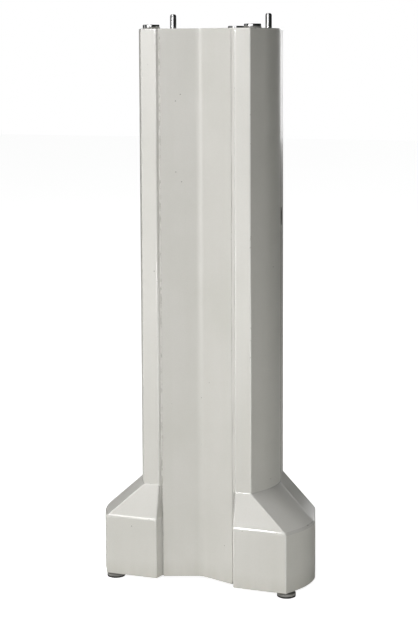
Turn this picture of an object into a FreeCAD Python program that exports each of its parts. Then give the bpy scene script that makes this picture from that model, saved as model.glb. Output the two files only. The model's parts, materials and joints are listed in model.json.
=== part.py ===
import FreeCAD, Part
import math
import os

# Security gate pedestal. Millimetres, +Z up, origin on the floor at the centre of the footprint.
# +X is the pedestal's right, and the front faces -Y. Depths are measured back from the front of the lobes.

V = FreeCAD.Vector
SIDES = {"left": -1, "right": 1}

# Heights
BODY_BOTTOM = 12.5
BODY_HEIGHT = 1003.0
BODY_TOP = BODY_BOTTOM + BODY_HEIGHT
RIM_Z = BODY_BOTTOM + 109.0
RAMP_TOP_Z = BODY_BOTTOM + 172.0

# Plan of the column, as (half width, depth)
WALL = 4.0
LOBE_INNER = 74.0
LOBE_CORNER = (103.5, 0.0)
FLAT_END = (118.5, 30.0)
FLANK_MIDDLE = (128.5, 62.0)
CREASE = (129.5, 97.0)
BACK_CORNER = (88.0, 246.0)
BACK_HALF_WIDTH = 60.0
BODY_DEPTH = 258.0

# Front panel and the grooves beside it
STEP_FOOT_X = 69.5
PANEL_EDGE = (67.0, 2.0)
PANEL_SLOPE = math.radians(19.5)
PANEL_THICKNESS = 3.0
VALLEY_RADIUS = 25.0
TAPE_THICKNESS = 1.0
TAPE_WIDTH = 12.0
OPENING_HALF_WIDTH = 50.0
OPENING_DEPTH = 55.0
BEAD_FRONT = 2.6

# Feet
FOOT_OUT = 70.0
FOOT_FORWARD = 14.0
FOOT_BACK = 196.0
FOOT_CORNER_RADIUS = 36.0
REAR_FOOT_OUT = 55.0
REAR_FOOT_HALF_WIDTH = 64.0
REAR_FOOT_ROOT = 225.0
REAR_CHAMFER = 12.0
FOOTPRINT_DEPTH = FOOT_FORWARD + BODY_DEPTH + REAR_FOOT_OUT
FRONT_Y = FOOT_FORWARD - FOOTPRINT_DEPTH / 2

# Base plate and its fixings
LIP_WIDTH = 9.0
LIP_THICKNESS = 4.0
PLATE_THICKNESS = 6.0
PLATE_CLEARANCE = 0.5
TONGUE_LENGTH = 8.0
BASE_PLATE_Z = BODY_BOTTOM + LIP_THICKNESS
BASE_SCREWS = [(-190.0, 60.0), (190.0, 60.0), (-84.0, 217.0), (84.0, 217.0), (-100.0, -4.0), (100.0, -4.0)]
BASE_SCREW_RADIUS = 3.0
BASE_SCREW_SOCKET = 4.0
SCREW_END = 2.0
SOCKET_DEPTH = 3.0
GROMMET_PLACE = (0.0, 120.0)
GROMMET_RADIUS = 16.0
GROMMET_FLANGE_RADIUS = 20.0
GROMMET_FLANGE_THICKNESS = 2.0
GROMMET_WALL = 3.0

# Top plate, buttons and pins
TOP_PLATE_Z = BODY_TOP - PLATE_THICKNESS
BUTTONS = {"left": (-96.5, 36.0), "right": (96.5, 36.0), "rear": (0.0, 228.0)}
BUTTON_RADIUS = 15.5
BUTTON_HEIGHT = 7.6
BUTTON_CHAMFER = 0.8
BUTTON_STUD_RADIUS = 4.0
BUTTON_STUD_LENGTH = 22.0
BUTTON_NUT_WIDTH = 13.0
NUT_HEIGHT = 6.5
PIN_PLACE = (93.5, 138.0)
PIN_RADIUS = 6.0
PIN_STAND = 28.5
PIN_TIP_RADIUS = 4.0
PIN_RELIEF = 1.0
PIN_SHANK_RADIUS = 5.0
PIN_DEPTH = 20.0
BUSH_RADIUS = 9.0
BUSH_FLANGE_RADIUS = 12.0
BUSH_FLANGE_THICKNESS = 3.0

# Upright tubes
UPRIGHTS = {"left": (-76.0, 66.0), "right": (76.0, 66.0), "rear": (0.0, 192.0)}
TUBE_SIZE = 30.0
TUBE_WALL = 2.0
PLUG_LENGTH = 20.0
TOP_SCREW_RADIUS = 4.0
TOP_SCREW_HEAD_RADIUS = 8.0
TOP_SCREW_SOCKET = 5.0
TOP_SCREW_STOP = 4.0

# Levelling feet
LEVELLERS = {"left": (-166.0, 13.0), "right": (166.0, 13.0), "rear": (0.0, 281.0)}
PAD_RADIUS = 17.0
SOLE_THICKNESS = 3.0
PAD_TOP_Z = 9.0
PAD_CHAMFER = 1.5
STEM_RADIUS = 5.0
STEM_BOTTOM_Z = 5.0
STEM_TOP_Z = 64.0
SPANNER_WIDTH = 12.0
SPANNER_GAP = 0.2
SPANNER_TOP_Z = 11.2
RUNNING_GAP = 0.05
LOCK_NUT_WIDTH = 17.0
LOCK_NUT_HEIGHT = 5.0
NUT_HOLE_RADIUS = 11.0
INSERT_RADIUS = 7.5
INSERT_FLANGE_RADIUS = 10.0
INSERT_FLANGE_THICKNESS = 2.0
INSERT_LENGTH = 14.0

# Sensor port on the right flank
PORT_DEPTH = 116.0
PORT_Z = BODY_BOTTOM + 662.0
BEZEL_RADIUS = 16.5
BEZEL_BARREL_RADIUS = 14.0
BARREL_LENGTH = 12.0
BEZEL_BORE = 12.0
BEZEL_PROUD = 0.8
LENS_THICKNESS = 3.0
LENS_RECESS = 1.0
MODULE_RADIUS = 13.0
MODULE_LENGTH = 26.0
MODULE_NOSE = 5.0
BRACKET_THICKNESS = 2.0
BRACKET_TAB = 34.0
BRACKET_HALF_WIDTH = 12.0
BRACKET_SHELF = [(30.0, 20.0), (24.0, 38.0), (-8.0, 30.0)]
BRACKET_SCREW_RISE = 8.0
BRACKET_Z = PORT_Z - MODULE_RADIUS

# Rear access cover
COVER_HALF_WIDTH = 48.0
COVER_LOW_Z = 330.0
COVER_HIGH_Z = 730.0
COVER_THICKNESS = 2.0
COVER_OVERLAP = 8.0
COVER_CORNER = 8.0
SMALL_SCREW_RADIUS = 1.5
SMALL_HEAD_RADIUS = 3.2
SMALL_HEAD_HEIGHT = 1.6
FIT_GAP = 0.03


def place(point, z=0.0):
    """Turn (half width, depth) into a point of the model."""
    return V(point[0], FRONT_Y + point[1], z)


def mirrored(point, side):
    return (point[0] * side, point[1])


def line(a, b, z):
    return Part.LineSegment(place(a, z), place(b, z)).toShape()


def arc(a, middle, b, z):
    return Part.Arc(place(a, z), place(middle, z), place(b, z)).toShape()


def chain(points, z):
    """Straight edges through the points."""
    return [line(a, b, z) for a, b in zip(points, points[1:])]


def prism(points, low, high):
    wire = Part.Wire(chain(points + points[:1], low))
    return Part.Face(wire).extrude(V(0, 0, high - low))


def standing(wire, height):
    return Part.Face(wire).extrude(V(0, 0, height))


def shrunk(wire, distance):
    return wire.makeOffset2D(-distance, 2)


def rod(radius, low, high, point):
    return Part.makeCylinder(radius, high - low, place(point, low))


def box(size_x, size_y, low, high, point):
    corner = place((point[0] - size_x / 2, point[1] - size_y / 2), low)
    return Part.makeBox(size_x, size_y, high - low, corner)


def hexagon(width, low, high, point):
    reach = width / 2 / math.cos(math.pi / 6)
    corners = []
    for turn in range(6):
        angle = math.radians(60 * turn)
        corners.append((point[0] + reach * math.cos(angle), point[1] + reach * math.sin(angle)))
    return prism(corners, low, high)


def small_screw(point, length, gap=0.0):
    """Round-headed screw pointing forward, or the hole for its shank where a gap is given."""
    backwards = V(0, 1, 0)
    shank = Part.makeCylinder(SMALL_SCREW_RADIUS + gap, length, point, backwards)
    if gap:
        return shank
    head = Part.makeCylinder(SMALL_HEAD_RADIUS, SMALL_HEAD_HEIGHT, point + backwards * length, backwards)
    return shank.fuse(head)


def group(shapes):
    return Part.makeCompound(shapes)


# Plan outlines

def slope_depth(x, behind=0.0):
    """Depth at x of a surface lying behind the front panel's face."""
    along = (PANEL_EDGE[0] - abs(x)) * math.tan(PANEL_SLOPE)
    return PANEL_EDGE[1] + along + behind / math.cos(PANEL_SLOPE)


def seat_point(x):
    """A point of the seat that the panel's tape is stuck to."""
    return (x, slope_depth(x, PANEL_THICKNESS + TAPE_THICKNESS))


def flank_direction():
    """Unit vector in plan along the flat flank behind the crease, towards the back."""
    run = (BACK_CORNER[0] - CREASE[0], BACK_CORNER[1] - CREASE[1])
    length = math.hypot(run[0], run[1])
    return (run[0] / length, run[1] / length)


def flank_point(depth):
    direction = flank_direction()
    return (CREASE[0] + direction[0] * (depth - CREASE[1]) / direction[1], depth)


def column_wire(z):
    """Outline of the shell's column, whose front is the panel's seat."""
    edges = []
    for side in SIDES.values():
        front = [seat_point(0.0), seat_point(STEP_FOOT_X), (LOBE_INNER, 0.0), LOBE_CORNER, FLAT_END]
        back = [CREASE, BACK_CORNER, (BACK_HALF_WIDTH, BODY_DEPTH), (0.0, BODY_DEPTH)]
        flank = [mirrored(p, side) for p in (FLAT_END, FLANK_MIDDLE, CREASE)]
        edges += chain([mirrored(p, side) for p in front], z)
        edges.append(arc(flank[0], flank[1], flank[2], z))
        edges += chain([mirrored(p, side) for p in back], z)
    return Part.Wire(Part.__sortEdges__(edges))


def front_foot_wire(side, z, out, forward):
    """Outline of a front foot: the lobe moved out and forward, and run back to its inner edge."""
    def moved(point):
        return (side * (point[0] + out), point[1] - forward)

    direction = flank_direction()
    turn = math.atan2(direction[1], -direction[0])
    setback = FOOT_CORNER_RADIUS * math.tan(turn / 2)
    end = flank_point(FOOT_BACK)
    start = (end[0] - direction[0] * setback, end[1] - direction[1] * setback)
    finish = (end[0] - setback, end[1])
    spoke = math.pi / 2 - turn / 2
    middle = (
        finish[0] + FOOT_CORNER_RADIUS * math.cos(spoke),
        end[1] - FOOT_CORNER_RADIUS * (1 - math.sin(spoke)),
    )
    inner = [(STEP_FOOT_X * side, end[1] - forward), mirrored(seat_point(STEP_FOOT_X), side)]
    inner.append((LOBE_INNER * side, -forward))
    edges = chain(inner + [moved(LOBE_CORNER), moved(FLAT_END)], z)
    edges.append(arc(moved(FLAT_END), moved(FLANK_MIDDLE), moved(CREASE), z))
    edges.append(line(moved(CREASE), moved(start), z))
    edges.append(arc(moved(start), moved(middle), moved(finish), z))
    edges.append(line(moved(finish), inner[0], z))
    return Part.Wire(edges)


def rear_foot_wire(z, out):
    """Outline of the rear foot, which flares straight back."""
    half = [(REAR_FOOT_HALF_WIDTH, REAR_FOOT_ROOT), (REAR_FOOT_HALF_WIDTH, BODY_DEPTH - REAR_CHAMFER + out)]
    half.append((REAR_FOOT_HALF_WIDTH - REAR_CHAMFER, BODY_DEPTH + out))
    points = half + [mirrored(p, -1) for p in reversed(half)]
    return Part.Wire(chain(points + points[:1], z))


def foot_outlines(z, flare):
    """The three feet's outlines, flared fully at 1 and lying on the column at 0."""
    front = [front_foot_wire(side, z, FOOT_OUT * flare, FOOT_FORWARD * flare) for side in SIDES.values()]
    return front + [rear_foot_wire(z, REAR_FOOT_OUT * flare)]


def foot_solids(inset, low):
    """The feet, each a block under a ramp, drawn in by the inset."""
    solids = []
    for foot, rim, top in zip(foot_outlines(low, 1), foot_outlines(RIM_Z, 1), foot_outlines(RAMP_TOP_Z, 0)):
        if inset:
            foot, rim, top = [shrunk(wire, inset) for wire in (foot, rim, top)]
        solids.append(standing(foot, RIM_Z - low))
        solids.append(Part.makeLoft([rim, top], True, True))
    return solids


def tongue(low, high):
    """The part of a plate that reaches forward between the two seats to the panel's back."""
    reach = OPENING_HALF_WIDTH - PLATE_CLEARANCE
    front = [(x, seat_point(x)[1]) for x in (-reach, 0.0, reach)]
    back = [(x, depth + TONGUE_LENGTH) for x, depth in reversed(front)]
    return prism(front + back, low, high)


# Shell and panel

def body_shell():
    """Folded steel shell with a lip round its foot, open at the top and behind the front panel."""
    column = standing(column_wire(BODY_BOTTOM), BODY_HEIGHT)
    outside = column.fuse(foot_solids(0, BODY_BOTTOM)).removeSplitter()
    hollow = [standing(shrunk(column_wire(BASE_PLATE_Z), WALL), BODY_HEIGHT)]
    hollow += foot_solids(WALL, BASE_PLATE_Z)
    mouth = WALL + LIP_WIDTH
    hollow.append(standing(shrunk(column_wire(BODY_BOTTOM), mouth), BODY_HEIGHT))
    hollow += [standing(shrunk(wire, mouth), LIP_THICKNESS) for wire in foot_outlines(BODY_BOTTOM, 1)]
    middle = (0.0, OPENING_DEPTH / 2)
    hollow.append(box(2 * OPENING_HALF_WIDTH, OPENING_DEPTH, BODY_BOTTOM, BODY_TOP, middle))
    hollow.append(cover_opening())
    hollow.append(port_cylinder(BEZEL_BARREL_RADIUS + FIT_GAP, -2 * WALL, WALL))
    hollow += [rod(BASE_SCREW_RADIUS + FIT_GAP, BODY_BOTTOM, BASE_PLATE_Z, p) for p in BASE_SCREWS]
    hollow += [rod(NUT_HOLE_RADIUS, BODY_BOTTOM, BASE_PLATE_Z, p) for p in LEVELLERS.values()]
    hollow += [cover_screw(p, FIT_GAP) for p in cover_screw_places()]
    return outside.cut(hollow)


def front_panel():
    """A folded sheet with a rounded valley, standing between the lobes."""
    edges = []
    tangent_x = VALLEY_RADIUS * math.sin(PANEL_SLOPE)
    sharpness = 1 / math.cos(PANEL_SLOPE) - 1
    ends = []
    for behind in (0.0, PANEL_THICKNESS):
        radius = VALLEY_RADIUS + behind
        bend_x = tangent_x * radius / VALLEY_RADIUS
        deepest = slope_depth(0.0, behind) - radius * sharpness
        edge = (PANEL_EDGE[0], slope_depth(PANEL_EDGE[0], behind))
        bend = (bend_x, slope_depth(bend_x, behind))
        for side in SIDES.values():
            edges.append(line(mirrored(edge, side), mirrored(bend, side), BODY_BOTTOM))
        edges.append(arc(mirrored(bend, -1), (0.0, deepest), bend, BODY_BOTTOM))
        ends.append(edge)
    for side in SIDES.values():
        edges.append(line(mirrored(ends[0], side), mirrored(ends[1], side), BODY_BOTTOM))
    return standing(Part.Wire(Part.__sortEdges__(edges)), BODY_HEIGHT)


def seam_bead(side):
    """Filler between the panel's edge and the lobe's step."""
    seat = seat_point(STEP_FOOT_X)
    rise = (seat[1] - BEAD_FRONT) / seat[1]
    on_step = (STEP_FOOT_X + (LOBE_INNER - STEP_FOOT_X) * rise, BEAD_FRONT)
    edge_x = PANEL_EDGE[0] + FIT_GAP
    corners = [on_step, (edge_x, BEAD_FRONT), (edge_x, seat_point(edge_x)[1]), seat]
    bead = prism([mirrored(p, side) for p in corners], BODY_BOTTOM, BODY_TOP)
    return bead.cut(foot_solids(0, BODY_BOTTOM))


def panel_tape(side):
    """Bonding tape between the panel's edge and its seat."""
    outer = PANEL_EDGE[0] - FIT_GAP
    inner = outer - TAPE_WIDTH
    front = [(x, slope_depth(x, PANEL_THICKNESS)) for x in (inner, outer)]
    corners = front + [seat_point(outer), seat_point(inner)]
    return prism([mirrored(p, side) for p in corners], BODY_BOTTOM, BODY_TOP)


# Plates and uprights

def top_plate():
    plate = standing(shrunk(column_wire(TOP_PLATE_Z), WALL + PLATE_CLEARANCE), PLATE_THICKNESS)
    plate = plate.fuse(tongue(TOP_PLATE_Z, BODY_TOP)).removeSplitter()
    holes = [rod(BUTTON_STUD_RADIUS + FIT_GAP, TOP_PLATE_Z, BODY_TOP, p) for p in BUTTONS.values()]
    pins = [mirrored(PIN_PLACE, side) for side in SIDES.values()]
    holes += [rod(BUSH_RADIUS + FIT_GAP, TOP_PLATE_Z, BODY_TOP, p) for p in pins]
    holes += [top_screw(p, FIT_GAP) for p in UPRIGHTS.values()]
    return plate.cut(holes)


def base_plate():
    inset = WALL + PLATE_CLEARANCE
    plate = standing(shrunk(column_wire(BASE_PLATE_Z), inset), PLATE_THICKNESS)
    feet = [standing(shrunk(wire, inset), PLATE_THICKNESS) for wire in foot_outlines(BASE_PLATE_Z, 1)]
    top = BASE_PLATE_Z + PLATE_THICKNESS
    plate = plate.fuse(feet + [tongue(BASE_PLATE_Z, top)]).removeSplitter()
    holes = [rod(INSERT_RADIUS + FIT_GAP, BASE_PLATE_Z, top, p) for p in LEVELLERS.values()]
    holes += [rod(BASE_SCREW_RADIUS + FIT_GAP, BASE_PLATE_Z, top, p) for p in BASE_SCREWS]
    holes.append(rod(GROMMET_RADIUS + FIT_GAP, BASE_PLATE_Z, top, GROMMET_PLACE))
    return plate.cut(holes)


def base_screw(point):
    """Screw driven up through the shell's lip into the base plate, its head inside the lip."""
    end = BASE_PLATE_Z + PLATE_THICKNESS + SCREW_END
    shank = rod(BASE_SCREW_RADIUS, BODY_BOTTOM, end, point)
    return shank.cut(hexagon(BASE_SCREW_SOCKET, BODY_BOTTOM, BODY_BOTTOM + SOCKET_DEPTH, point))


def cable_grommet():
    """Membrane grommet: two flanges, a waist in the plate's hole and a closed skin."""
    top = BASE_PLATE_Z + PLATE_THICKNESS
    highest = top + GROMMET_FLANGE_THICKNESS
    waist = rod(GROMMET_RADIUS, BASE_PLATE_Z, top, GROMMET_PLACE)
    upper = rod(GROMMET_FLANGE_RADIUS, top, highest, GROMMET_PLACE)
    lower = rod(GROMMET_FLANGE_RADIUS, BASE_PLATE_Z - GROMMET_FLANGE_THICKNESS, BASE_PLATE_Z, GROMMET_PLACE)
    whole = waist.fuse([upper, lower]).removeSplitter()
    return whole.cut(rod(GROMMET_RADIUS - GROMMET_WALL, BASE_PLATE_Z, highest, GROMMET_PLACE))


def upright(name):
    low = BASE_PLATE_Z + PLATE_THICKNESS
    point = UPRIGHTS[name]
    bore = TUBE_SIZE - 2 * TUBE_WALL
    tube = box(TUBE_SIZE, TUBE_SIZE, low, TOP_PLATE_Z, point)
    tube = tube.cut(box(bore, bore, low, TOP_PLATE_Z, point))
    return tube.cut(bracket_screws(FIT_GAP)) if name == "right" else tube


def upright_plug(point):
    """Block welded in the head of a tube and tapped for the top plate's screw."""
    size = TUBE_SIZE - 2 * TUBE_WALL - 2 * FIT_GAP
    return box(size, size, TOP_PLATE_Z - PLUG_LENGTH, TOP_PLATE_Z, point).cut(top_screw(point, FIT_GAP))


def top_screw(point, gap=0.0):
    """Countersunk screw, its head flush with the top plate."""
    head_depth = TOP_SCREW_HEAD_RADIUS - TOP_SCREW_RADIUS
    radii = (TOP_SCREW_RADIUS + gap, TOP_SCREW_HEAD_RADIUS + gap)
    head = Part.makeCone(radii[0], radii[1], head_depth, place(point, BODY_TOP - head_depth))
    end = TOP_PLATE_Z - PLUG_LENGTH + TOP_SCREW_STOP - gap
    screw = head.fuse(rod(radii[0], end, BODY_TOP - head_depth, point))
    return screw if gap else screw.cut(hexagon(TOP_SCREW_SOCKET, BODY_TOP - SOCKET_DEPTH, BODY_TOP, point))


# What stands on the top plate

def support_button(name):
    point = BUTTONS[name]
    disc = rod(BUTTON_RADIUS, BODY_TOP, BODY_TOP + BUTTON_HEIGHT, point)
    disc = disc.makeChamfer(BUTTON_CHAMFER, [e for e in disc.Edges if e.BoundBox.ZMin > BODY_TOP + 1])
    return disc.fuse(rod(BUTTON_STUD_RADIUS, BODY_TOP - BUTTON_STUD_LENGTH, BODY_TOP, point))


def button_nut(point):
    nut = hexagon(BUTTON_NUT_WIDTH, TOP_PLATE_Z - NUT_HEIGHT, TOP_PLATE_Z, point)
    return nut.cut(rod(BUTTON_STUD_RADIUS + FIT_GAP, TOP_PLATE_Z - NUT_HEIGHT, TOP_PLATE_Z, point))


def locating_pin(side):
    """Ground pin on a thinner shank, with a relief groove just above the top plate."""
    point = mirrored(PIN_PLACE, side)
    start, tip = BODY_TOP + PIN_RELIEF, BODY_TOP + PIN_STAND
    head = rod(PIN_RADIUS, start, tip, point)
    head = head.makeFillet(PIN_TIP_RADIUS, [e for e in head.Edges if e.BoundBox.ZMin > tip - 1])
    return head.fuse(rod(PIN_SHANK_RADIUS, TOP_PLATE_Z - PIN_DEPTH, start, point))


def pin_bush(side):
    point = mirrored(PIN_PLACE, side)
    flange = rod(BUSH_FLANGE_RADIUS, TOP_PLATE_Z - BUSH_FLANGE_THICKNESS, TOP_PLATE_Z, point)
    bush = rod(BUSH_RADIUS, TOP_PLATE_Z - PIN_DEPTH, BODY_TOP, point).fuse(flange)
    return bush.cut(rod(PIN_SHANK_RADIUS + FIT_GAP, TOP_PLATE_Z - PIN_DEPTH, BODY_TOP, point))


# Levelling feet

def leveller_sole(name):
    return rod(PAD_RADIUS, 0.0, SOLE_THICKNESS, LEVELLERS[name])


def leveller_pad(name):
    """Swivel pad, with the socket that the stem turns in."""
    point = LEVELLERS[name]
    pad = rod(PAD_RADIUS, SOLE_THICKNESS, PAD_TOP_Z, point)
    pad = pad.makeChamfer(PAD_CHAMFER, [e for e in pad.Edges if e.BoundBox.ZMin > SOLE_THICKNESS + 1])
    return pad.cut(rod(STEM_RADIUS + RUNNING_GAP, STEM_BOTTOM_Z - RUNNING_GAP, PAD_TOP_Z, point))


def leveller_stem(name):
    """Threaded stem with a hexagon for the spanner just above the pad."""
    point = LEVELLERS[name]
    spanner = hexagon(SPANNER_WIDTH, PAD_TOP_Z + SPANNER_GAP, SPANNER_TOP_Z, point)
    return rod(STEM_RADIUS, STEM_BOTTOM_Z, STEM_TOP_Z, point).fuse(spanner)


def leveller_lock_nut(name):
    low = BASE_PLATE_Z - LOCK_NUT_HEIGHT
    nut = hexagon(LOCK_NUT_WIDTH, low, BASE_PLATE_Z, LEVELLERS[name])
    return nut.cut(rod(STEM_RADIUS + RUNNING_GAP, low, BASE_PLATE_Z, LEVELLERS[name]))


def leveller_insert(name):
    """Flanged threaded insert that holds the stem in the base plate."""
    point = LEVELLERS[name]
    top = BASE_PLATE_Z + PLATE_THICKNESS
    barrel = rod(INSERT_RADIUS, BASE_PLATE_Z, top + INSERT_LENGTH, point)
    insert = barrel.fuse(rod(INSERT_FLANGE_RADIUS, top, top + INSERT_FLANGE_THICKNESS, point))
    return insert.cut(rod(STEM_RADIUS + RUNNING_GAP, BASE_PLATE_Z, top + INSERT_LENGTH, point))


# Sensor port

def port_axis():
    """Outward normal of the right flank."""
    direction = flank_direction()
    return V(direction[1], -direction[0], 0)


def port_cylinder(radius, start, end):
    """Cylinder on the port's axis, measured outwards from the flank's surface."""
    axis = port_axis()
    surface = place(flank_point(PORT_DEPTH), PORT_Z)
    return Part.makeCylinder(radius, end - start, surface + axis * start, axis)


def sensor_bezel():
    barrel = port_cylinder(BEZEL_BARREL_RADIUS, -BARREL_LENGTH, 0.0)
    ring = port_cylinder(BEZEL_RADIUS, 0.0, BEZEL_PROUD).fuse(barrel)
    return ring.cut(port_cylinder(BEZEL_BORE, -BARREL_LENGTH, BEZEL_PROUD))


def sensor_lens():
    return port_cylinder(BEZEL_BORE - FIT_GAP, -LENS_RECESS - LENS_THICKNESS, -LENS_RECESS)


def sensor_module():
    body = port_cylinder(MODULE_RADIUS, -BARREL_LENGTH - MODULE_LENGTH, -BARREL_LENGTH)
    return body.fuse(port_cylinder(BEZEL_BORE - FIT_GAP, -BARREL_LENGTH, -BARREL_LENGTH + MODULE_NOSE))


def bracket_back():
    """Depth of the right upright's back face, which the bracket is screwed to."""
    return UPRIGHTS["right"][1] + TUBE_SIZE / 2


def bracket_screws(gap=0.0):
    """The two screws, or the holes for them where a gap is given."""
    length = 2 * TUBE_WALL + BRACKET_THICKNESS
    start = bracket_back() - 2 * TUBE_WALL
    screws = []
    for rise in (-BRACKET_SCREW_RISE, BRACKET_SCREW_RISE):
        point = place((UPRIGHTS["right"][0], start), BRACKET_Z - BRACKET_TAB / 2 + rise)
        screws.append(small_screw(point, length, gap))
    return group(screws)


def sensor_bracket():
    """Shelf under the module, with a tab that is screwed to the right upright."""
    x = UPRIGHTS["right"][0]
    left, right = x - BRACKET_HALF_WIDTH, x + BRACKET_HALF_WIDTH
    back = bracket_back()
    tab = [(left, back), (right, back), (right, back + BRACKET_THICKNESS), (left, back + BRACKET_THICKNESS)]
    shelf = [(left, back), (right, back)]
    shelf += [(x + across, back + out) for across, out in BRACKET_SHELF]
    bracket = prism(shelf, BRACKET_Z - BRACKET_THICKNESS, BRACKET_Z)
    bracket = bracket.fuse(prism(tab, BRACKET_Z - BRACKET_TAB, BRACKET_Z)).removeSplitter()
    return bracket.cut(bracket_screws(FIT_GAP))


# Rear access cover

def cover_opening():
    reach = COVER_HALF_WIDTH - COVER_OVERLAP
    low, high = COVER_LOW_Z + COVER_OVERLAP, COVER_HIGH_Z - COVER_OVERLAP
    return box(2 * reach, 4 * WALL, low, high, (0.0, BODY_DEPTH))


def cover_screw_places():
    inset = COVER_OVERLAP / 2
    xs = [side * (COVER_HALF_WIDTH - inset) for side in SIDES.values()]
    return [(x, z) for x in xs for z in (COVER_LOW_Z + inset, COVER_HIGH_Z - inset)]


def cover_screw(at, gap=0.0):
    """Round-headed screw through the cover's edge into the shell's wall."""
    return small_screw(place((at[0], BODY_DEPTH - WALL), at[1]), WALL + COVER_THICKNESS, gap)


def rear_cover():
    height = COVER_HIGH_Z - COVER_LOW_Z
    at = (0.0, BODY_DEPTH + COVER_THICKNESS / 2)
    plate = box(2 * COVER_HALF_WIDTH, COVER_THICKNESS, COVER_LOW_Z, COVER_HIGH_Z, at)
    corners = [e for e in plate.Edges if abs(e.tangentAt(e.FirstParameter).y) > 0.9]
    plate = plate.makeFillet(COVER_CORNER, corners)
    return plate.cut([cover_screw(p, FIT_GAP) for p in cover_screw_places()])


def all_nodes():
    nodes = {
        "body_shell": body_shell(),
        "front_panel": front_panel(),
        "top_plate": top_plate(),
        "base_plate": base_plate(),
        "base_screws": group([base_screw(p) for p in BASE_SCREWS]),
        "cable_grommet": cable_grommet(),
        "upright_plugs": group([upright_plug(p) for p in UPRIGHTS.values()]),
        "top_screws": group([top_screw(p) for p in UPRIGHTS.values()]),
        "button_nuts": group([button_nut(p) for p in BUTTONS.values()]),
        "sensor_bezel": sensor_bezel(),
        "sensor_lens": sensor_lens(),
        "sensor_module": sensor_module(),
        "sensor_bracket": sensor_bracket(),
        "bracket_screws": bracket_screws(),
        "rear_cover": rear_cover(),
        "rear_cover_screws": group([cover_screw(p) for p in cover_screw_places()]),
    }
    for name, side in SIDES.items():
        nodes["seam_bead_" + name] = seam_bead(side)
        nodes["panel_tape_" + name] = panel_tape(side)
        nodes["locating_pin_" + name] = locating_pin(side)
        nodes["pin_bush_" + name] = pin_bush(side)
    for name in BUTTONS:
        nodes["support_button_" + name] = support_button(name)
        nodes["upright_" + name] = upright(name)
    for name in LEVELLERS:
        nodes["leveller_sole_" + name] = leveller_sole(name)
        nodes["leveller_pad_" + name] = leveller_pad(name)
        nodes["leveller_stem_" + name] = leveller_stem(name)
        nodes["leveller_lock_nut_" + name] = leveller_lock_nut(name)
        nodes["leveller_insert_" + name] = leveller_insert(name)
    return nodes


os.makedirs("parts", exist_ok=True)
for node, shape in all_nodes().items():
    shape.exportStep("parts/" + node + ".step")
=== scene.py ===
import json
import math

import bmesh
import bpy
from mathutils import Euler, Matrix, Vector, noise
from mathutils.bvhtree import BVHTree


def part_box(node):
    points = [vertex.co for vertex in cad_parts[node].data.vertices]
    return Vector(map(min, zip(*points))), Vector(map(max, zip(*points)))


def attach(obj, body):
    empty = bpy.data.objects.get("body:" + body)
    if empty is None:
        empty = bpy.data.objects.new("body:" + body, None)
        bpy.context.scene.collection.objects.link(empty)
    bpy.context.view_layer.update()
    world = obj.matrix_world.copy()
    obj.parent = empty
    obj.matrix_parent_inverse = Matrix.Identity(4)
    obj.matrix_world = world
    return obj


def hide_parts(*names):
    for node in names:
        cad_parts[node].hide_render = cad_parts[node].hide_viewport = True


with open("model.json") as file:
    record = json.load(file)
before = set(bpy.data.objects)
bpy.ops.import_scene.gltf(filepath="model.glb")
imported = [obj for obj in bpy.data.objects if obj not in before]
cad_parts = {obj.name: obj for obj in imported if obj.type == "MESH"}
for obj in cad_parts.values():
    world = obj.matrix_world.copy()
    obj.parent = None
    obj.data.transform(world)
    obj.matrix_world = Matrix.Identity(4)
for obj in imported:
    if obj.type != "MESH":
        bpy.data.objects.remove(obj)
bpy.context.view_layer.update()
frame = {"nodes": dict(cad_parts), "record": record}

NODES = frame["nodes"]
BODY_OF = {node: body for body, nodes in frame["record"]["behaviour"]["bodies"].items() for node in nodes}
SLOT_OF = {part["node"]: part["material_slot"] for part in frame["record"]["subparts"]}
SIDES = {"left": -1, "right": 1}
FEET = ("left", "right", "rear")
MM = 0.001

# Where things lie on the shell, from the frame. A foot's ramp runs from its rim up to the column.
SHELL_LOW, SHELL_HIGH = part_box("body_shell")
PANEL_LOW, PANEL_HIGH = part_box("front_panel")
RIM_Z = SHELL_LOW.z + 109 * MM
RAMP_TOP_Z = SHELL_LOW.z + 172 * MM
RAMP_TAIL_Y = 100 * MM
LOBE_FRONT_Y = PANEL_LOW.y - 2 * MM
FOOT_INNER_X = PANEL_HIGH.x + 2.3 * MM


# Building materials. Noise scales are per metre, bump distances in metres, and colours linear.

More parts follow.
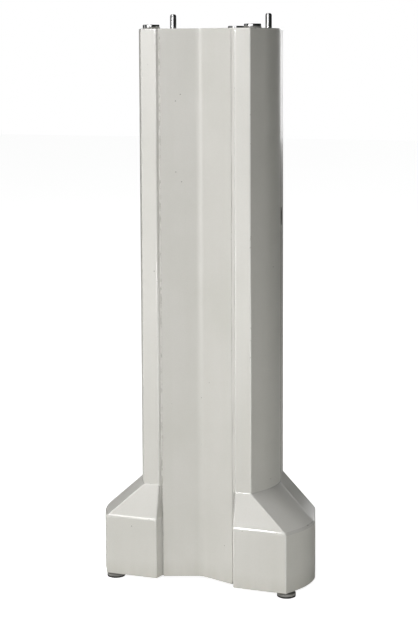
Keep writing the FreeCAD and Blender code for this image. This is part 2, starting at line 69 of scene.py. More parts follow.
class Recipe:
    """A material being made. Each method adds a node and returns the output that others read."""

    def __init__(self, name, colour, rough, metal=0.0):
        self.material = bpy.data.materials.new(name)
        self.material.use_nodes = True
        self.tree = self.material.node_tree
        self.shader = self.tree.nodes["Principled BSDF"]
        self.shader.inputs["Metallic"].default_value = metal
        self.set("Base Color", (*colour, 1))
        self.set("Roughness", rough)
        self.place = self.add("ShaderNodeTexCoord").outputs["Object"]

    def add(self, kind, **values):
        node = self.tree.nodes.new(kind)
        for key, value in values.items():
            setattr(node, key, value)
        return node

    def feed(self, socket, value):
        if isinstance(value, bpy.types.NodeSocket):
            self.tree.links.new(value, socket)
        else:
            socket.default_value = value

    def set(self, name, value):
        self.feed(self.shader.inputs[name], value)

    def stretched(self, stretch, shift=(0, 0, 0)):
        mapping = self.add("ShaderNodeMapping")
        self.feed(mapping.inputs["Vector"], self.place)
        mapping.inputs["Scale"].default_value = stretch
        mapping.inputs["Location"].default_value = shift
        return mapping.outputs["Vector"]

    def noise(self, scale, detail=2.0, stretch=None, shift=(0, 0, 0)):
        node = self.add("ShaderNodeTexNoise")
        place = self.stretched(stretch or (1, 1, 1), shift) if stretch or any(shift) else self.place
        self.feed(node.inputs["Vector"], place)
        node.inputs["Scale"].default_value = scale
        node.inputs["Detail"].default_value = detail
        return node.outputs["Fac"]

    def cells(self, scale):
        node = self.add("ShaderNodeTexVoronoi")
        self.feed(node.inputs["Vector"], self.place)
        node.inputs["Scale"].default_value = scale
        return node

    def span(self, value, low, high, to_low=0.0, to_high=1.0):
        node = self.add("ShaderNodeMapRange", clamp=True)
        self.feed(node.inputs["Value"], value)
        for name, number in zip(("From Min", "From Max", "To Min", "To Max"), (low, high, to_low, to_high)):
            node.inputs[name].default_value = number
        return node.outputs["Result"]

    def math(self, operation, a, b):
        node = self.add("ShaderNodeMath", operation=operation)
        self.feed(node.inputs[0], a)
        self.feed(node.inputs[1], b)
        return node.outputs["Value"]

    def blend(self, factor, a, b, kind="MIX"):
        node = self.add("ShaderNodeMix", data_type="RGBA", blend_type=kind)
        self.feed(node.inputs["Factor"], factor)
        colours = [s for s in node.inputs if s.type == "RGBA"]
        for socket, value in zip(colours, (a, b)):
            self.feed(socket, (*value, 1) if isinstance(value, tuple) else value)
        return [s for s in node.outputs if s.type == "RGBA"][0]

    def bump(self, height, distance, under=None):
        node = self.add("ShaderNodeBump")
        self.feed(node.inputs["Height"], height)
        node.inputs["Distance"].default_value = distance
        if under is not None:
            self.feed(node.inputs["Normal"], under)
        return node.outputs["Normal"]

    def upright(self):
        """The height of a point above the floor."""
        node = self.add("ShaderNodeSeparateXYZ")
        self.feed(node.inputs["Vector"], self.place)
        return node.outputs["Z"]


PAINT = (0.62, 0.608, 0.583)
PAINT_DULL = (0.585, 0.576, 0.545)
# A lighter copy of the paint, for a painted highlight on the rounded edges
PAINT_HIGHLIGHT = (0.68, 0.668, 0.645)
DARK_SPECK = (0.12, 0.115, 0.10)
# The colour the paint darkens to towards the floor, and the height over which it does so
LOW_DARK = (0.30, 0.28, 0.22)
LOW_DARK_HEIGHT = 30 * MM
COAT_ROUGHNESS = 0.07
COAT_IOR = 1.9


def paint_material(name, colours=(PAINT, PAINT_DULL), rough=(0.26, 0.36), wear=0.0, coat=0.0):
    """Semi-gloss enamel: mottling, runs, orange peel, specks and darkening towards the floor, with chips
    where it is worn.
    """
    r = Recipe(name, colours[0], rough[1])
    patches = r.noise(9.0, 4.0, shift=(3.1, 0.4, 7.7))
    runs = r.noise(55.0, 3.0, stretch=(1, 1, 0.035))
    colour = r.blend(r.span(patches, 0.35, 0.7), *colours)
    colour = r.blend(r.span(runs, 0.45, 0.75, 0.0, 0.5), colour, colours[1])
    grain = r.noise(420.0, 2.0)
    colour = r.blend(r.span(grain, 0.3, 0.7, 0.0, 0.1), colour, (0.45, 0.45, 0.40))
    specks = r.cells(60.0).outputs["Distance"]
    rare = r.span(r.noise(13.0, 1.0, shift=(9, 9, 9)), 0.60, 0.63)
    speck = r.math("MULTIPLY", r.span(specks, 0.045, 0.08, 1.0, 0.0), rare)
    colour = r.blend(r.math("MULTIPLY", speck, 0.75), colour, DARK_SPECK)
    # Darker towards the floor over the lowest 30 mm, in streaks
    near_floor = r.span(r.upright(), SHELL_LOW.z, SHELL_LOW.z + LOW_DARK_HEIGHT, 0.35, 0.0)
    colour = r.blend(r.math("MULTIPLY", near_floor, runs), colour, LOW_DARK)
    if wear:
        chips = r.span(r.noise(160.0, 3.0, shift=(1, 5, 2)), 0.70 - wear, 0.72 - wear)
        colour = r.blend(chips, colour, (0.42, 0.41, 0.38))
    r.set("Base Color", colour)
    r.set("Roughness", r.span(r.noise(8.0, 1.0, shift=(5, 5, 1)), 0.1, 0.9, *rough))
    r.set("Coat Weight", coat)
    r.set("Coat Roughness", COAT_ROUGHNESS)
    r.set("Coat IOR", COAT_IOR)
    ripple = r.bump(r.noise(11.0, 0.0, stretch=(1, 1, 0.35)), 0.0005)
    r.set("Normal", r.bump(r.noise(330.0, 2.0), 0.00006, under=ripple))
    return r.material


def plate_material():
    r = Recipe("plate_paint", (0.55, 0.54, 0.49), 0.5)
    patches = r.noise(20.0, 4.0)
    scuffs = r.noise(90.0, 3.0, stretch=(1, 0.08, 1))
    colour = r.blend(r.span(patches, 0.35, 0.7), (0.57, 0.56, 0.51), (0.50, 0.49, 0.43))
    r.set("Base Color", r.blend(r.span(scuffs, 0.62, 0.72, 0.0, 0.6), colour, (0.28, 0.28, 0.26)))
    r.set("Roughness", r.span(patches, 0.3, 0.7, 0.42, 0.58))
    r.set("Normal", r.bump(r.noise(380.0, 2.0), 0.00008))
    return r.material


def primer_material():
    r = Recipe("primer", (0.075, 0.08, 0.085), 0.7)
    patches = r.noise(16.0, 5.0)
    colour = r.blend(r.span(patches, 0.3, 0.7), (0.085, 0.09, 0.095), (0.055, 0.06, 0.065))
    rust = r.span(r.noise(70.0, 4.0, shift=(4, 4, 4)), 0.66, 0.74, 0.0, 0.7)
    r.set("Base Color", r.blend(rust, colour, (0.16, 0.075, 0.035)))
    r.set("Roughness", r.span(patches, 0.3, 0.7, 0.62, 0.8))
    r.set("Normal", r.bump(r.noise(900.0, 2.0), 0.00008))
    return r.material


def filler_material():
    """Filler under paint, with painted shade where it lies low in the seam's groove. The mesh says how much
    shade each point gets.
    """
    r = Recipe("filler", (0.6, 0.59, 0.53), 0.5)
    groove_shade = r.add("ShaderNodeAttribute", attribute_name="groove_shade").outputs["Fac"]
    lumps = r.noise(700.0, 3.0)
    # Painted shade from the mesh, with random lumps of tone; it also sets the roughness
    shade_and_lumps = r.math("ADD", groove_shade, r.span(lumps, 0.3, 0.7, -0.15, 0.15))
    colour = r.blend(r.span(shade_and_lumps, 0.25, 0.85), PAINT, (0.24, 0.23, 0.195))
    r.set("Base Color", colour)
    r.set("Roughness", r.span(shade_and_lumps, 0.2, 0.8, 0.42, 0.8))
    r.set("Normal", r.bump(lumps, 0.0002))
    return r.material


def chrome_material():
    r = Recipe("chrome", (0.62, 0.62, 0.63), 0.1, 1.0)
    haze = r.noise(60.0, 4.0)
    r.set("Base Color", r.blend(r.span(haze, 0.4, 0.75), (0.66, 0.66, 0.67), (0.50, 0.50, 0.50)))
    r.set("Roughness", r.span(haze, 0.3, 0.75, 0.07, 0.2))
    r.set("Normal", r.bump(r.noise(1500.0, 2.0, stretch=(1, 1, 6)), 0.00001))
    return r.material


def ground_steel_material():
    r = Recipe("pin_steel", (0.45, 0.45, 0.46), 0.2, 1.0)
    rings = r.noise(900.0, 2.0, stretch=(0.15, 0.15, 4))
    stains = r.noise(90.0, 3.0)
    r.set("Base Color", r.blend(r.span(stains, 0.45, 0.75), (0.50, 0.50, 0.51), (0.30, 0.29, 0.28)))
    r.set("Roughness", r.span(rings, 0.3, 0.7, 0.12, 0.26))
    r.set("Normal", r.bump(rings, 0.000012))
    return r.material


def zinc_material():
    r = Recipe("zinc", (0.55, 0.56, 0.55), 0.35, 1.0)
    spangle = r.cells(160.0).outputs["Color"]
    tone = r.blend(0.18, (0.50, 0.51, 0.50), spangle, "SOFT_LIGHT")
    dull = r.noise(35.0, 4.0)
    r.set("Base Color", r.blend(r.span(dull, 0.45, 0.75, 0.0, 0.6), tone, (0.32, 0.32, 0.31)))
    r.set("Roughness", r.span(dull, 0.3, 0.7, 0.28, 0.5))
    r.set("Normal", r.bump(r.noise(700.0, 2.0), 0.00004))
    return r.material


def brass_material():
    r = Recipe("brass", (0.50, 0.34, 0.11), 0.3, 1.0)
    rings = r.noise(800.0, 2.0, stretch=(0.2, 0.2, 4))
    tarnish = r.noise(80.0, 4.0)
    r.set("Base Color", r.blend(r.span(tarnish, 0.4, 0.75), (0.55, 0.38, 0.13), (0.26, 0.17, 0.07)))
    r.set("Roughness", r.span(tarnish, 0.3, 0.7, 0.22, 0.45))
    r.set("Normal", r.bump(rings, 0.00002))
    return r.material


def rubber_material():
    r = Recipe("rubber", (0.02, 0.02, 0.02), 0.8)
    bloom = r.noise(50.0, 5.0)
    r.set("Base Color", r.blend(r.span(bloom, 0.4, 0.75), (0.018, 0.018, 0.018), (0.05, 0.048, 0.045)))
    r.set("Roughness", r.span(bloom, 0.3, 0.7, 0.68, 0.9))
    r.set("Normal", r.bump(r.noise(1200.0, 2.0), 0.00008))
    return r.material


def moulded_material(name, colour, rough):
    """Moulded plastic with an even spark-eroded texture and a little dust."""
    r = Recipe(name, colour, rough)
    dust = r.noise(45.0, 5.0, shift=(2, 7, 1))
    pale = tuple(c * 1.7 + 0.02 for c in colour)
    r.set("Base Color", r.blend(r.span(dust, 0.45, 0.8, 0.0, 0.7), colour, pale))
    r.set("Roughness", r.span(dust, 0.3, 0.75, rough - 0.08, rough + 0.15))
    r.set("Normal", r.bump(r.noise(1400.0, 2.0), 0.00006))
    return r.material


def lens_material():
    r = Recipe("lens", (0.012, 0.004, 0.006), 0.06)
    smear = r.noise(120.0, 4.0)
    r.set("Base Color", r.blend(r.span(smear, 0.4, 0.8), (0.012, 0.004, 0.006), (0.03, 0.012, 0.014)))
    r.set("Roughness", r.span(smear, 0.4, 0.75, 0.04, 0.22))
    return r.material


def tape_material():
    r = Recipe("tape", (0.03, 0.03, 0.03), 0.85)
    pores = r.cells(1300.0).outputs["Distance"]
    r.set("Base Color", r.blend(r.span(pores, 0.1, 0.5), (0.012, 0.012, 0.012), (0.045, 0.045, 0.045)))
    r.set("Roughness", r.span(pores, 0.1, 0.6, 0.95, 0.75))
    r.set("Normal", r.bump(pores, 0.0002))
    return r.material


MATERIALS = {
    "paint": paint_material("paint"),
    # Rounded edges: a lighter copy of the paint as a painted highlight, with a clear coat and a few real
    # chips
    "paint_edge": paint_material(
        "paint_edge", colours=(PAINT_HIGHLIGHT, PAINT), rough=(0.16, 0.26), wear=0.02, coat=1.0
    ),
    "plate_paint": plate_material(),
    "primer": primer_material(),
    "filler": filler_material(),
    "chrome": chrome_material(),
    "pin_steel": ground_steel_material(),
    "zinc": zinc_material(),
    "brass": brass_material(),
    "rubber": rubber_material(),
    "pad": moulded_material("pad", (0.24, 0.235, 0.225), 0.42),
    "sensor_plastic": moulded_material("sensor_plastic", (0.012, 0.012, 0.013), 0.45),
    "lens": lens_material(),
    "tape": tape_material(),
}


# Building pieces

def add_piece(name, mesh, node, extra=()):
    """A piece that stands for a CAD node, with its body and finish."""
    piece = bpy.data.objects.new(name, mesh)
    bpy.context.scene.collection.objects.link(piece)
    mesh.materials.clear()
    mesh.materials.append(MATERIALS[SLOT_OF[node]])
    for slot in extra:
        mesh.materials.append(MATERIALS[slot])
    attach(piece, BODY_OF[node])
    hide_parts(node)
    return piece


def around(centre, radius, angle, z):
    """The point at a radius and an angle round an upright axis."""
    return (centre[0] + radius * math.cos(angle), centre[1] + radius * math.sin(angle), z)


def bridge(bm, low, high):
    """Adds the faces between two rings of points, or between a ring and a single tip."""
    count = max(len(low), len(high))
    for i in range(count):
        j = (i + 1) % count
        if len(low) == 1:
            bm.faces.new((low[0], high[j], high[i]))
        elif len(high) == 1:
            bm.faces.new((low[i], low[j], high[0]))
        else:
            bm.faces.new((low[i], low[j], high[j], high[i]))


# Points this near are one point, and faces this near to level are one face
SAME_POINT = 1e-6
SAME_PLANE = math.radians(0.4)


def joined_up(node):
    """The node's mesh with its triangles merged back into whole faces."""
    bm = bmesh.new()
    bm.from_mesh(NODES[node].data)
    bmesh.ops.remove_doubles(bm, verts=bm.verts, dist=SAME_POINT)
    bmesh.ops.dissolve_limit(
        bm, angle_limit=SAME_PLANE, verts=bm.verts, edges=bm.edges, use_dissolve_boundaries=False
    )
    return bm


# Rounding takes no more than this part of the shortest edge beside it
ROUNDING_ROOM = 0.45
# Degrees between faces, from which an edge that isn't rounded stays sharp
SHARP_ANGLE = 30


def outward(bm):
    """The faces that nothing of the same mesh stands in front of."""
    lift, reach = 0.3 * MM, 1.0
    tree = BVHTree.FromBMesh(bm)
    faces = set()
    for face in bm.faces:
        start = face.calc_center_median_weighted() + face.normal * lift
        if tree.ray_cast(start, face.normal, reach)[0] is None:
            faces.add(face.index)
    return faces


def softened(
    name, node, width, segments=2, least_angle=22, only_outward=False, edge_material=None, share=None
):
    """A copy of the node with rounded edges. Given an edge, share says how much of the width it gets."""
    bm = joined_up(node)
    bm.faces.ensure_lookup_table()
    bm.normal_update()
    faces = outward(bm) if only_outward else {f.index for f in bm.faces}
    weights = bm.edges.layers.float.new("bevel_weight_edge")
    for face in bm.faces:
        face.smooth = True
    for edge in bm.edges:
        if not edge.is_manifold:
            continue
        angle = math.degrees(edge.calc_face_angle(0.0))
        rounded = angle > least_angle and all(f.index in faces for f in edge.link_faces)
        shortest = min(near.calc_length() for vert in edge.verts for near in vert.link_edges)
        room = ROUNDING_ROOM * shortest / width
        edge[weights] = min(share(edge) if share else 1.0, room) if rounded else 0.0
        edge.smooth = rounded or angle < SHARP_ANGLE
    mesh = bpy.data.meshes.new(name)
    bm.to_mesh(mesh)
    bm.free()
    piece = add_piece(name, mesh, node, [edge_material] if edge_material else [])
    bevel = piece.modifiers.new("rounding", "BEVEL")
    bevel.limit_method = "WEIGHT"
    bevel.width = width
    bevel.segments = segments
    bevel.use_clamp_overlap = False
    bevel.harden_normals = True
    if edge_material:
        bevel.material = 1
    piece.modifiers.new("flat_faces", "WEIGHTED_NORMAL").keep_sharp = True
    return piece


def lathe(profile, centre, segments):
    """A closed solid of revolution about +Z. The profile is (radius, height) from bottom to top."""
    bm = bmesh.new()
    rings = []
    for radius, z in profile:
        if radius == 0:
            rings.append([bm.verts.new((centre[0], centre[1], z))])
            continue
        angles = [math.tau * i / segments for i in range(segments)]
        rings.append([bm.verts.new(around(centre, radius, a, z)) for a in angles])
    for low, high in zip(rings, rings[1:]):
        bridge(bm, low, high)
    for ring, flip in ((rings[0], True), (rings[-1], False)):
        if len(ring) > 1:
            bm.faces.new(list(reversed(ring)) if flip else ring)
    return bm


def shaded(bm, name, sharp):
    """The finished mesh, smooth except at its sharp edges."""
    bmesh.ops.recalc_face_normals(bm, faces=bm.faces)
    for face in bm.faces:
        face.smooth = True
    for edge in bm.edges:
        edge.smooth = not edge.is_manifold or edge.calc_face_angle(0.0) < math.radians(sharp)
    mesh = bpy.data.meshes.new(name)
    bm.to_mesh(mesh)
    bm.free()
    return mesh


def rounded_top(radius, z, rounding, steps):
    """Profile points of a quarter round that ends a side at the height z."""
    inner, under = radius - rounding, z - rounding
    angles = [math.pi / 2 * i / steps for i in range(steps + 1)]
    return [(inner + rounding * math.cos(a), under + rounding * math.sin(a)) for a in angles]


def rounded_bottom(radius, z, rounding, steps):
    """Profile points of a quarter round that starts a side at the height z."""
    inner, over = radius - rounding, z + rounding
    angles = [math.pi / 2 * i / steps for i in range(steps + 1)]
    return [(inner + rounding * math.sin(a), over - rounding * math.cos(a)) for a in angles]


# Shell, panel and filler

def rim_share(edge):
    """How much of the rounding an edge gets: all on a rim, little at a ramp's top, half on other ridges."""
    places = [vert.co for vert in edge.verts]
    if any(RIM_Z + MM < p.z < RAMP_TOP_Z + MM and 0 < p.y < RAMP_TAIL_Y for p in places):
        return 0.0
    for level, share in ((RIM_Z, 1.0), (RAMP_TOP_Z, 0.2)):
        if all(abs(p.z - level) < 0.5 * MM for p in places):
            return share
    return 0.5 * edge.is_convex


def make_shell():
    softened(
        "painted_shell", "body_shell", 3.4 * MM, segments=3, least_angle=9,
        only_outward=True, edge_material="paint_edge", share=rim_share,
    )
    softened("formed_panel", "front_panel", 0.7 * MM, least_angle=30, edge_material="paint_edge")
    softened("back_cover", "rear_cover", 0.6 * MM, least_angle=30)


def filler(side_name, lumps, depth, spread, shade_strength, seed):
    """A run of seam filler laid by hand. Its height, width and crown wander along the seam."""
    side = SIDES[side_name]
    low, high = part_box("seam_bead_" + side_name)
    clear = 0.1 * MM
    inner = PANEL_HIGH.x + 0.5 * clear
    outer_top = max(abs(low.x), abs(high.x)) - clear
    back_y = high.y - clear
    thinnest, most = 0.12 * depth, back_y - low.y - 2 * clear
    bottom = low.z + 5 * MM
    step, across = 1.1 * MM, 8
    # The bead widens from a foot's narrow gap to the column's over this height
    widening = 6 * MM
    rows = int((high.z - bottom) / step)
    bm = bmesh.new()
    groove_shade = bm.verts.layers.float.new("groove_shade")
    grid = []
    for row in range(rows + 1):
        z = bottom + (high.z - bottom) * row / rows
        blend = min(max((z - RAMP_TOP_Z) / widening + 0.5, 0.0), 1.0)
        outer = FOOT_INNER_X + (outer_top - FOOT_INNER_X) * blend
        swell = noise.noise((seed, 0.0, z * 18))
        bead = noise.noise((seed + 5.0, 0.3, z * 95)) + 0.6 * noise.noise((seed + 9.0, 0.7, z * 210))
        height = depth * (0.72 + 0.28 * swell + lumps * bead)
        height = min(max(height, thinnest), most)
        lean = 0.5 + 0.16 * noise.noise((seed + 20.0, 0.1, z * 60)) * lumps
        width = spread * (0.86 + 0.3 * lumps * noise.noise((seed + 33.0, 0.2, z * 120)))
        line = []
        for i in range(across + 1):
            u = i / across
            x = inner + (outer - inner) * u
            crown = max(0.0, 1 - ((u - lean) / width) ** 2) ** 0.5
            y = back_y - height * crown - 1.5 * clear
            vert = bm.verts.new((side * x, y, z))
            # Painted shade: the thinner the bead here, the lower it lies in the groove and the darker it is
            # painted
            vert[groove_shade] = min(1.0, shade_strength * max(0.0, 1.1 - crown * height / depth))
            line.append(vert)
        line.append(bm.verts.new((side * outer, back_y, z)))
        line.append(bm.verts.new((side * inner, back_y, z)))
        grid.append(line)
    for a, b in zip(grid, grid[1:]):
        bridge(bm, a, b)
    bm.faces.new(grid[0])
    bm.faces.new(list(reversed(grid[-1])))
    mesh = shaded(bm, "filler_" + side_name, sharp=75)
    add_piece("filler_" + side_name, mesh, "seam_bead_" + side_name)


# Hardware on top

def make_button(name):
    """Turned button: an undercut foot, a rounded edge and a shallow dished top."""
    low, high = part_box("support_button_" + name)
    centre = (low + high) / 2
    radius = (high.x - low.x) / 2
    base = SHELL_HIGH.z
    top = high.z
    stud = 4.0 * MM
    profile = [(stud, low.z), (stud, base)]
    # The undercut at its foot, the side and its rounded edge
    profile += [(radius - 0.9 * MM, base), (radius - 0.5 * MM, base + 0.3 * MM)]
    profile += [(radius - 0.15 * MM, base + 0.9 * MM), (radius, base + 1.3 * MM), (radius, top - 1.2 * MM)]
    profile += rounded_top(radius, top - 0.2 * MM, 0.9 * MM, steps=4)[1:]
    # The rim, the dish inside it and the dimple in the middle
    profile += [(radius - 2.4 * MM, top), (radius - 4.0 * MM, top), (radius - 4.6 * MM, top - 0.35 * MM)]
    profile += [(3.2 * MM, top - 0.5 * MM), (2.4 * MM, top - 1.3 * MM), (0.0, top - 1.8 * MM)]
    mesh = shaded(lathe(profile, centre, segments=96), "button_" + name, sharp=40)
    add_piece("button_" + name, mesh, "support_button_" + name)


def make_pin(side_name):
    """Ground pin with a rounded tip and a relief groove at its foot."""
    node = "locating_pin_" + side_name
    low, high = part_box(node)
    centre = (low + high) / 2
    radius = (high.x - low.x) / 2
    base, top = SHELL_HIGH.z, high.z
    relief = base + 1.0 * MM
    shank, chamfer, tip = 5.0 * MM, 0.6 * MM, 4.0 * MM
    profile = [(shank - chamfer, low.z), (shank, low.z + chamfer), (shank, relief)]
    profile += [(radius - 0.3 * MM, relief), (radius, base + 1.3 * MM), (radius, top - tip)]
    profile += rounded_top(radius, top, tip, steps=8)[1:]
    profile.append((0.0, top))
    mesh = shaded(lathe(profile, centre, segments=72), "pin_" + side_name, sharp=30)
    add_piece("pin_" + side_name, mesh, node)


# Levelling feet

# The hole for the stem in a pad and in a nut
STEM_BORE = 5.05 * MM


def threaded(bm, centre, low, high, crest, depth, pitch):
    """Adds a rod with a screw thread cut in it, running out at both ends."""
    segments = 28
    # One turn's profile: how far along the pitch, and how far out to the crest
    profile = ((0.0, 0.0), (0.32, 1.0), (0.5, 1.0), (0.82, 0.0))
    per_turn = len(profile)
    run_out = 1.2 * pitch
    turns = int((high - low) / pitch) - 1
    columns = []
    for i in range(segments):
        a = math.tau * i / segments
        column = []
        for row in range(turns * per_turn + 1):
            share, rise = profile[row % per_turn]
            z = low + pitch * (row // per_turn + share + i / segments)
            ends = min((z - low) / run_out, (high - z) / run_out, 1.0)
            radius = crest - depth + depth * rise * max(ends, 0.0)
            column.append(bm.verts.new(around(centre, radius, a, z)))
        columns.append(column)
    for i in range(segments):
        here, there = columns[i], columns[(i + 1) % segments]
        wrap = per_turn if i == segments - 1 else 0
        for row in range(len(here) - 1 - wrap):
            corners = (here[row], there[row + wrap], there[row + 1 + wrap], here[row + 1])
            bm.faces.new(corners)
    first, last = columns[0], columns[-1]
    lower = [c[0] for c in columns] + list(reversed(first[1:per_turn + 1]))
    upper = [c[-1] for c in columns] + list(reversed(last[-1 - per_turn:-1]))
    for loop, z, flip in ((lower, low, True), (upper, high, False)):
        tip = bm.verts.new((centre[0], centre[1], z))
        for a, b in zip(loop, loop[1:] + loop[:1]):
            bm.faces.new((b, a, tip) if flip else (a, b, tip))


def hexagonal(bm, centre, width, low, high, chamfer):
    """Adds a hexagonal prism whose corners are turned down, as on a nut."""
    reach = width / 2 / math.cos(math.pi / 6)
    segments = 48
    turned = reach - chamfer
    levels = ((low, turned), (low + 0.5 * chamfer, reach), (high - 0.5 * chamfer, reach), (high, turned))
    rings = []
    for z, limit in levels:
        ring = []
        for i in range(segments):
            a = math.tau * i / segments
            flat = a % (math.pi / 3) - math.pi / 6
            radius = min(width / 2 / math.cos(flat), limit)
            ring.append(bm.verts.new(around(centre, radius, a, z)))
        rings.append(ring)
    for a, b in zip(rings, rings[1:]):
        bridge(bm, a, b)
    bm.faces.new(list(reversed(rings[0])))
    bm.faces.new(rings[-1])


def make_stem(name):
    node = "leveller_stem_" + name
    low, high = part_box(node)
    pad_low, pad_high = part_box("leveller_pad_" + name)
    centre = (pad_low + pad_high) / 2
    spanner_low, spanner_high = pad_high.z + 0.2 * MM, pad_high.z + 2.2 * MM
    shank, chamfer = 5.0 * MM, 0.4 * MM
    profile = [(shank - chamfer, low.z), (shank, low.z + chamfer), (shank, spanner_low + 1 * MM)]
    bm = lathe(profile, centre, segments=48)
    hexagonal(bm, centre, 12 * MM, spanner_low, spanner_high, chamfer=0.5 * MM)
    threaded(bm, centre, spanner_high - 0.5 * MM, high.z, crest=4.95 * MM, depth=0.9 * MM, pitch=1.5 * MM)
    add_piece("stem_" + name, shaded(bm, "stem_" + name, sharp=28), node)


def make_pad(name):
    """Swivel pad with a dished top, a ribbed grip round its side and the stem's socket."""
    node = "leveller_pad_" + name
    low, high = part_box(node)
    centre = (low + high) / 2
    radius = (high.x - low.x) / 2
    ribs, per_rib, rib_depth = 36, 4, 0.45 * MM
    segments = ribs * per_rib
    # The socket's wall and mouth
    profile = [(STEM_BORE, low.z + 2 * MM), (STEM_BORE, high.z - 0.3 * MM), (STEM_BORE + 0.3 * MM, high.z)]
    # The collar, and the dish from it to the side
    profile += [(8.2 * MM, high.z), (8.8 * MM, high.z - 0.8 * MM), (radius - 2.4 * MM, high.z - 1.5 * MM)]
    profile += [(radius - 1.0 * MM, high.z - 1.9 * MM), (radius, high.z - 2.8 * MM)]
    # The side's foot and the underside
    profile += [(radius, low.z + 0.4 * MM), (radius - 0.4 * MM, low.z), (4.0 * MM, low.z), (0.0, low.z)]
    bm = bmesh.new()
    rings = []
    for r, z in profile:
        if r == 0:
            rings.append([bm.verts.new((centre.x, centre.y, z))])
            continue
        ring = []
        on_side = r > radius - 0.5 * MM
        for i in range(segments):
            cut = rib_depth if on_side and i % per_rib in (2, 3) else 0.0
            ring.append(bm.verts.new(around(centre, r - cut, math.tau * i / segments, z)))
        rings.append(ring)
    for a, b in zip(rings, rings[1:]):
        bridge(bm, a, b)
    socket_floor = bm.verts.new((centre.x, centre.y, low.z + 1.95 * MM))
    bridge(bm, [socket_floor], rings[0])
    add_piece("pad_" + name, shaded(bm, "pad_" + name, sharp=30), node)


def make_sole(name):
    """Rubber sole with ring grooves cut in its underside."""
    node = "leveller_sole_" + name
    low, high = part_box(node)
    centre = (low + high) / 2
    radius = (high.x - low.x) / 2
    profile = [(0.0, low.z)]
    grooves, first, apart = 4, 3.0 * MM, 3.5 * MM
    top = low.z + 0.9 * MM
    for i in range(grooves):
        r = first + apart * i
        profile += [(r, low.z), (r + 0.3 * MM, top), (r + 0.9 * MM, top), (r + 1.2 * MM, low.z)]
    profile += rounded_bottom(radius, low.z, 0.7 * MM, steps=4)
    profile += [(radius, high.z - 0.3 * MM), (radius - 0.3 * MM, high.z), (0.0, high.z)]
    mesh = shaded(lathe(profile, centre, segments=96), "sole_" + name, sharp=35)
    add_piece("sole_" + name, mesh, node)


def make_lock_nut(name):
    """Thin lock nut, its corners turned down on both faces."""
    node = "leveller_lock_nut_" + name
    low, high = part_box(node)
    centre = (low + high) / 2
    bm = bmesh.new()
    hexagonal(bm, centre, high.y - low.y, low.z, high.z, chamfer=1.0 * MM)
    ends = [face for face in bm.faces if len(face.verts) > 4]
    rings = []
    for face in ends:
        z = face.verts[0].co.z
        inner = []
        outer = list(face.verts)
        bmesh.ops.delete(bm, geom=[face], context="FACES_ONLY")
        for vert in outer:
            flat = Vector((vert.co.x - centre.x, vert.co.y - centre.y, 0)).normalized() * STEM_BORE
            inner.append(bm.verts.new((centre.x + flat.x, centre.y + flat.y, z)))
        bridge(bm, outer, inner)
        rings.append({round(math.atan2(v.co.y - centre.y, v.co.x - centre.x), 4): v for v in inner})
    keys = sorted(rings[0])
    for a, b in zip(keys, keys[1:] + keys[:1]):
        bm.faces.new((rings[0][a], rings[0][b], rings[1][b], rings[1][a]))
    add_piece("lock_nut_" + name, shaded(bm, "lock_nut_" + name, sharp=28), node)


def make_feet():
    for name in FEET:
        make_stem(name)
        make_pad(name)
        make_sole(name)
        make_lock_nut(name)
        softened("insert_" + name, "leveller_insert_" + name, width=0.3 * MM)


# Everything else keeps its CAD shape, with small rounded edges

# Node: the piece's name, and the rounding in millimetres
PLAIN_PIECES = {
    "top_plate": ("capping_plate", 0.5),
    "base_plate": ("floor_plate", 0.5),
    "base_screws": ("floor_screws", 0.3),
    "cable_grommet": ("grommet", 0.6),
    "upright_plugs": ("tube_plugs", 0.5),
    "top_screws": ("capping_screws", 0.25),
    "button_nuts": ("stud_nuts", 0.4),
    "sensor_bezel": ("port_ring", 0.35),
    "sensor_lens": ("port_window", 0.3),
    "sensor_module": ("sensor_body", 0.5),
    "sensor_bracket": ("sensor_shelf", 0.4),
    "bracket_screws": ("shelf_screws", 0.3),
    "rear_cover_screws": ("cover_screws", 0.5),
    "pin_bush_left": ("bush_left", 0.3),
    "pin_bush_right": ("bush_right", 0.3),
    "upright_left": ("tube_left", 0.8),
    "upright_right": ("tube_right", 0.8),
    "upright_rear": ("tube_rear", 0.8),
    "panel_tape_left": ("bonding_left", 0.2),
    "panel_tape_right": ("bonding_right", 0.2),
}


# Camera: where it stands round the front of the lobes, how it is turned, and its lens
AZIMUTH = math.radians(20.41)
DISTANCE = 2.7075
CAMERA_HEIGHT = 0.9705
PITCH = math.radians(5.27)
TURN = math.radians(-0.518)
ROLL = math.radians(-0.237)
LENS = 87.56
SHIFT_Y = -0.19


def make_camera():
    data = bpy.data.cameras.new("camera")
    data.lens = LENS
    data.shift_y = SHIFT_Y
    camera = bpy.data.objects.new("camera", data)
    bpy.context.scene.collection.objects.link(camera)
    camera.location = (
        DISTANCE * math.sin(AZIMUTH),
        LOBE_FRONT_Y - DISTANCE * math.cos(AZIMUTH),
        CAMERA_HEIGHT,
    )
    look = Euler((math.pi / 2 - PITCH, 0, AZIMUTH + TURN)).to_matrix().to_4x4()
    camera.rotation_euler = (look @ Matrix.Rotation(ROLL, 4, "Z")).to_euler()
    bpy.context.scene.camera = camera


# Light and floor

FLOOR_REACH = 14.0
FLOOR_GLOW = 0.93


def area_light(name, azimuth, elevation, distance, size, power, colour, aim_z):
    """A softbox aimed at a height on the column's axis. The angles, in degrees, start from the front."""
    data = bpy.data.lights.new(name, "AREA")
    data.shape = "RECTANGLE"
    data.size, data.size_y = size
    data.energy = power
    data.color = colour
    light = bpy.data.objects.new(name, data)
    bpy.context.scene.collection.objects.link(light)
    a, e = math.radians(azimuth), math.radians(elevation)
    out = Vector((math.sin(a) * math.cos(e), -math.cos(a) * math.cos(e), math.sin(e)))
    light.location = Vector((0, 0, aim_z)) + out * distance
    light.rotation_euler = (-out).to_track_quat("-Z", "Y").to_euler()


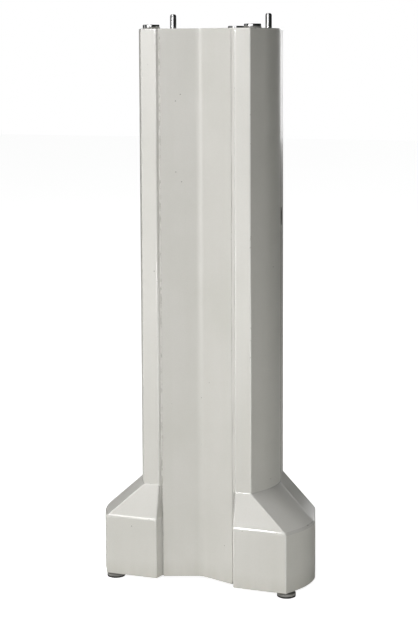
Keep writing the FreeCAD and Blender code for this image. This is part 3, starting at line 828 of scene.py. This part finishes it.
def make_lights():
    """Softboxes all round the front, and two small lamps that catch the valley and the feet's rims."""
    white, warm = (1, 1, 1), (1.0, 0.99, 0.98)
    area_light("overhead", -35, 66, 4.2, (2.2, 2.2), 86, white, 0.3)
    area_light("key", -28, 20, 2.9, (1.6, 1.8), 10, warm, 0.75)
    area_light("key_low", -28, 2, 2.9, (0.9, 1.2), 12, warm, 0.4)
    area_light("front", 7, 15, 3.2, (1.3, 1.8), 17, white, 0.7)
    area_light("strip", 58, 0, 1.3, (0.3, 0.5), 2.6, white, 0.12)
    area_light("left", -80, 8, 3.0, (1.0, 2.0), 5, white, 0.6)
    area_light("lamp", -20, 8, 3.0, (0.25, 0.25), 7, white, 0.75)
    area_light("lamp_low", -15, 1, 3.0, (0.25, 0.25), 5, white, 0.12)


# Strength of the world's light all round, and in the patch behind the object. The edge and the core
# of the patch say how nearly a direction has to point straight back.
DIM_STRENGTH = 0.03
PATCH_STRENGTH = 2.15
PATCH_EDGE = 0.93
PATCH_CORE = 0.995


def make_world():
    """White to the camera. As light it is dim all round and white in a patch behind the object."""
    world = bpy.data.worlds.new("studio")
    bpy.context.scene.world = world
    world.use_nodes = True
    tree = world.node_tree
    tree.nodes.clear()

    def background(colour, strength):
        node = tree.nodes.new("ShaderNodeBackground")
        node.inputs["Color"].default_value = (*colour, 1)
        node.inputs["Strength"].default_value = strength
        return node.outputs["Background"]

    def mix(factor, a, b):
        node = tree.nodes.new("ShaderNodeMixShader")
        tree.links.new(factor, node.inputs["Fac"])
        tree.links.new(a, node.inputs[1])
        tree.links.new(b, node.inputs[2])
        return node.outputs["Shader"]

    split = tree.nodes.new("ShaderNodeSeparateXYZ")
    tree.links.new(tree.nodes.new("ShaderNodeTexCoord").outputs["Generated"], split.inputs["Vector"])
    patch = tree.nodes.new("ShaderNodeMapRange")
    patch.interpolation_type = "SMOOTHSTEP"
    tree.links.new(split.outputs["Y"], patch.inputs["Value"])
    patch.inputs["From Min"].default_value = PATCH_EDGE
    patch.inputs["From Max"].default_value = PATCH_CORE
    dim = background((0.93, 1.0, 0.95), DIM_STRENGTH)
    bright = background((1, 1, 1), PATCH_STRENGTH)
    lit = mix(patch.outputs["Result"], dim, bright)
    seen = tree.nodes.new("ShaderNodeLightPath").outputs["Is Camera Ray"]
    out = tree.nodes.new("ShaderNodeOutputWorld")
    tree.links.new(mix(seen, lit, background((1, 1, 1), 1.0)), out.inputs["Surface"])


def floor_plane(name, z, colour, glow):
    mesh = bpy.data.meshes.new(name)
    reach = FLOOR_REACH
    corners = [(-reach, -reach, z), (reach, -reach, z), (reach, reach, z), (-reach, reach, z)]
    mesh.from_pydata(corners, [], [(0, 1, 2, 3)])
    floor = bpy.data.objects.new(name, mesh)
    bpy.context.scene.collection.objects.link(floor)
    r = Recipe(name, colour, 0.9)
    r.set("Emission Color", (1, 1, 1, 1))
    r.set("Emission Strength", glow)
    mesh.materials.append(r.material)
    return floor


def make_floor():
    """The floor that shows is nearly white. A card just under it throws the light back up."""
    shown = floor_plane("floor", 0.0, (0.9, 0.9, 0.9), FLOOR_GLOW)
    shown.visible_diffuse = False
    shown.visible_glossy = False
    shown.visible_shadow = False
    card = floor_plane("floor_card", -1 * MM, (0.93, 0.93, 0.87), 0.0)
    card.visible_camera = False


make_shell()
# The left seam gets much painted shade in its groove, the right seam little
filler("left", lumps=0.55, depth=2.6 * MM, spread=0.6, shade_strength=0.7, seed=3.0)
filler("right", lumps=0.04, depth=3.6 * MM, spread=2.0, shade_strength=0.1, seed=41.0)
for button in FEET:
    make_button(button)
for side_name in SIDES:
    make_pin(side_name)
make_feet()
for node, (name, width) in PLAIN_PIECES.items():
    softened(name, node, width * MM)

make_camera()
make_lights()
make_world()
make_floor()
bpy.context.scene.view_settings.view_transform = "Standard"
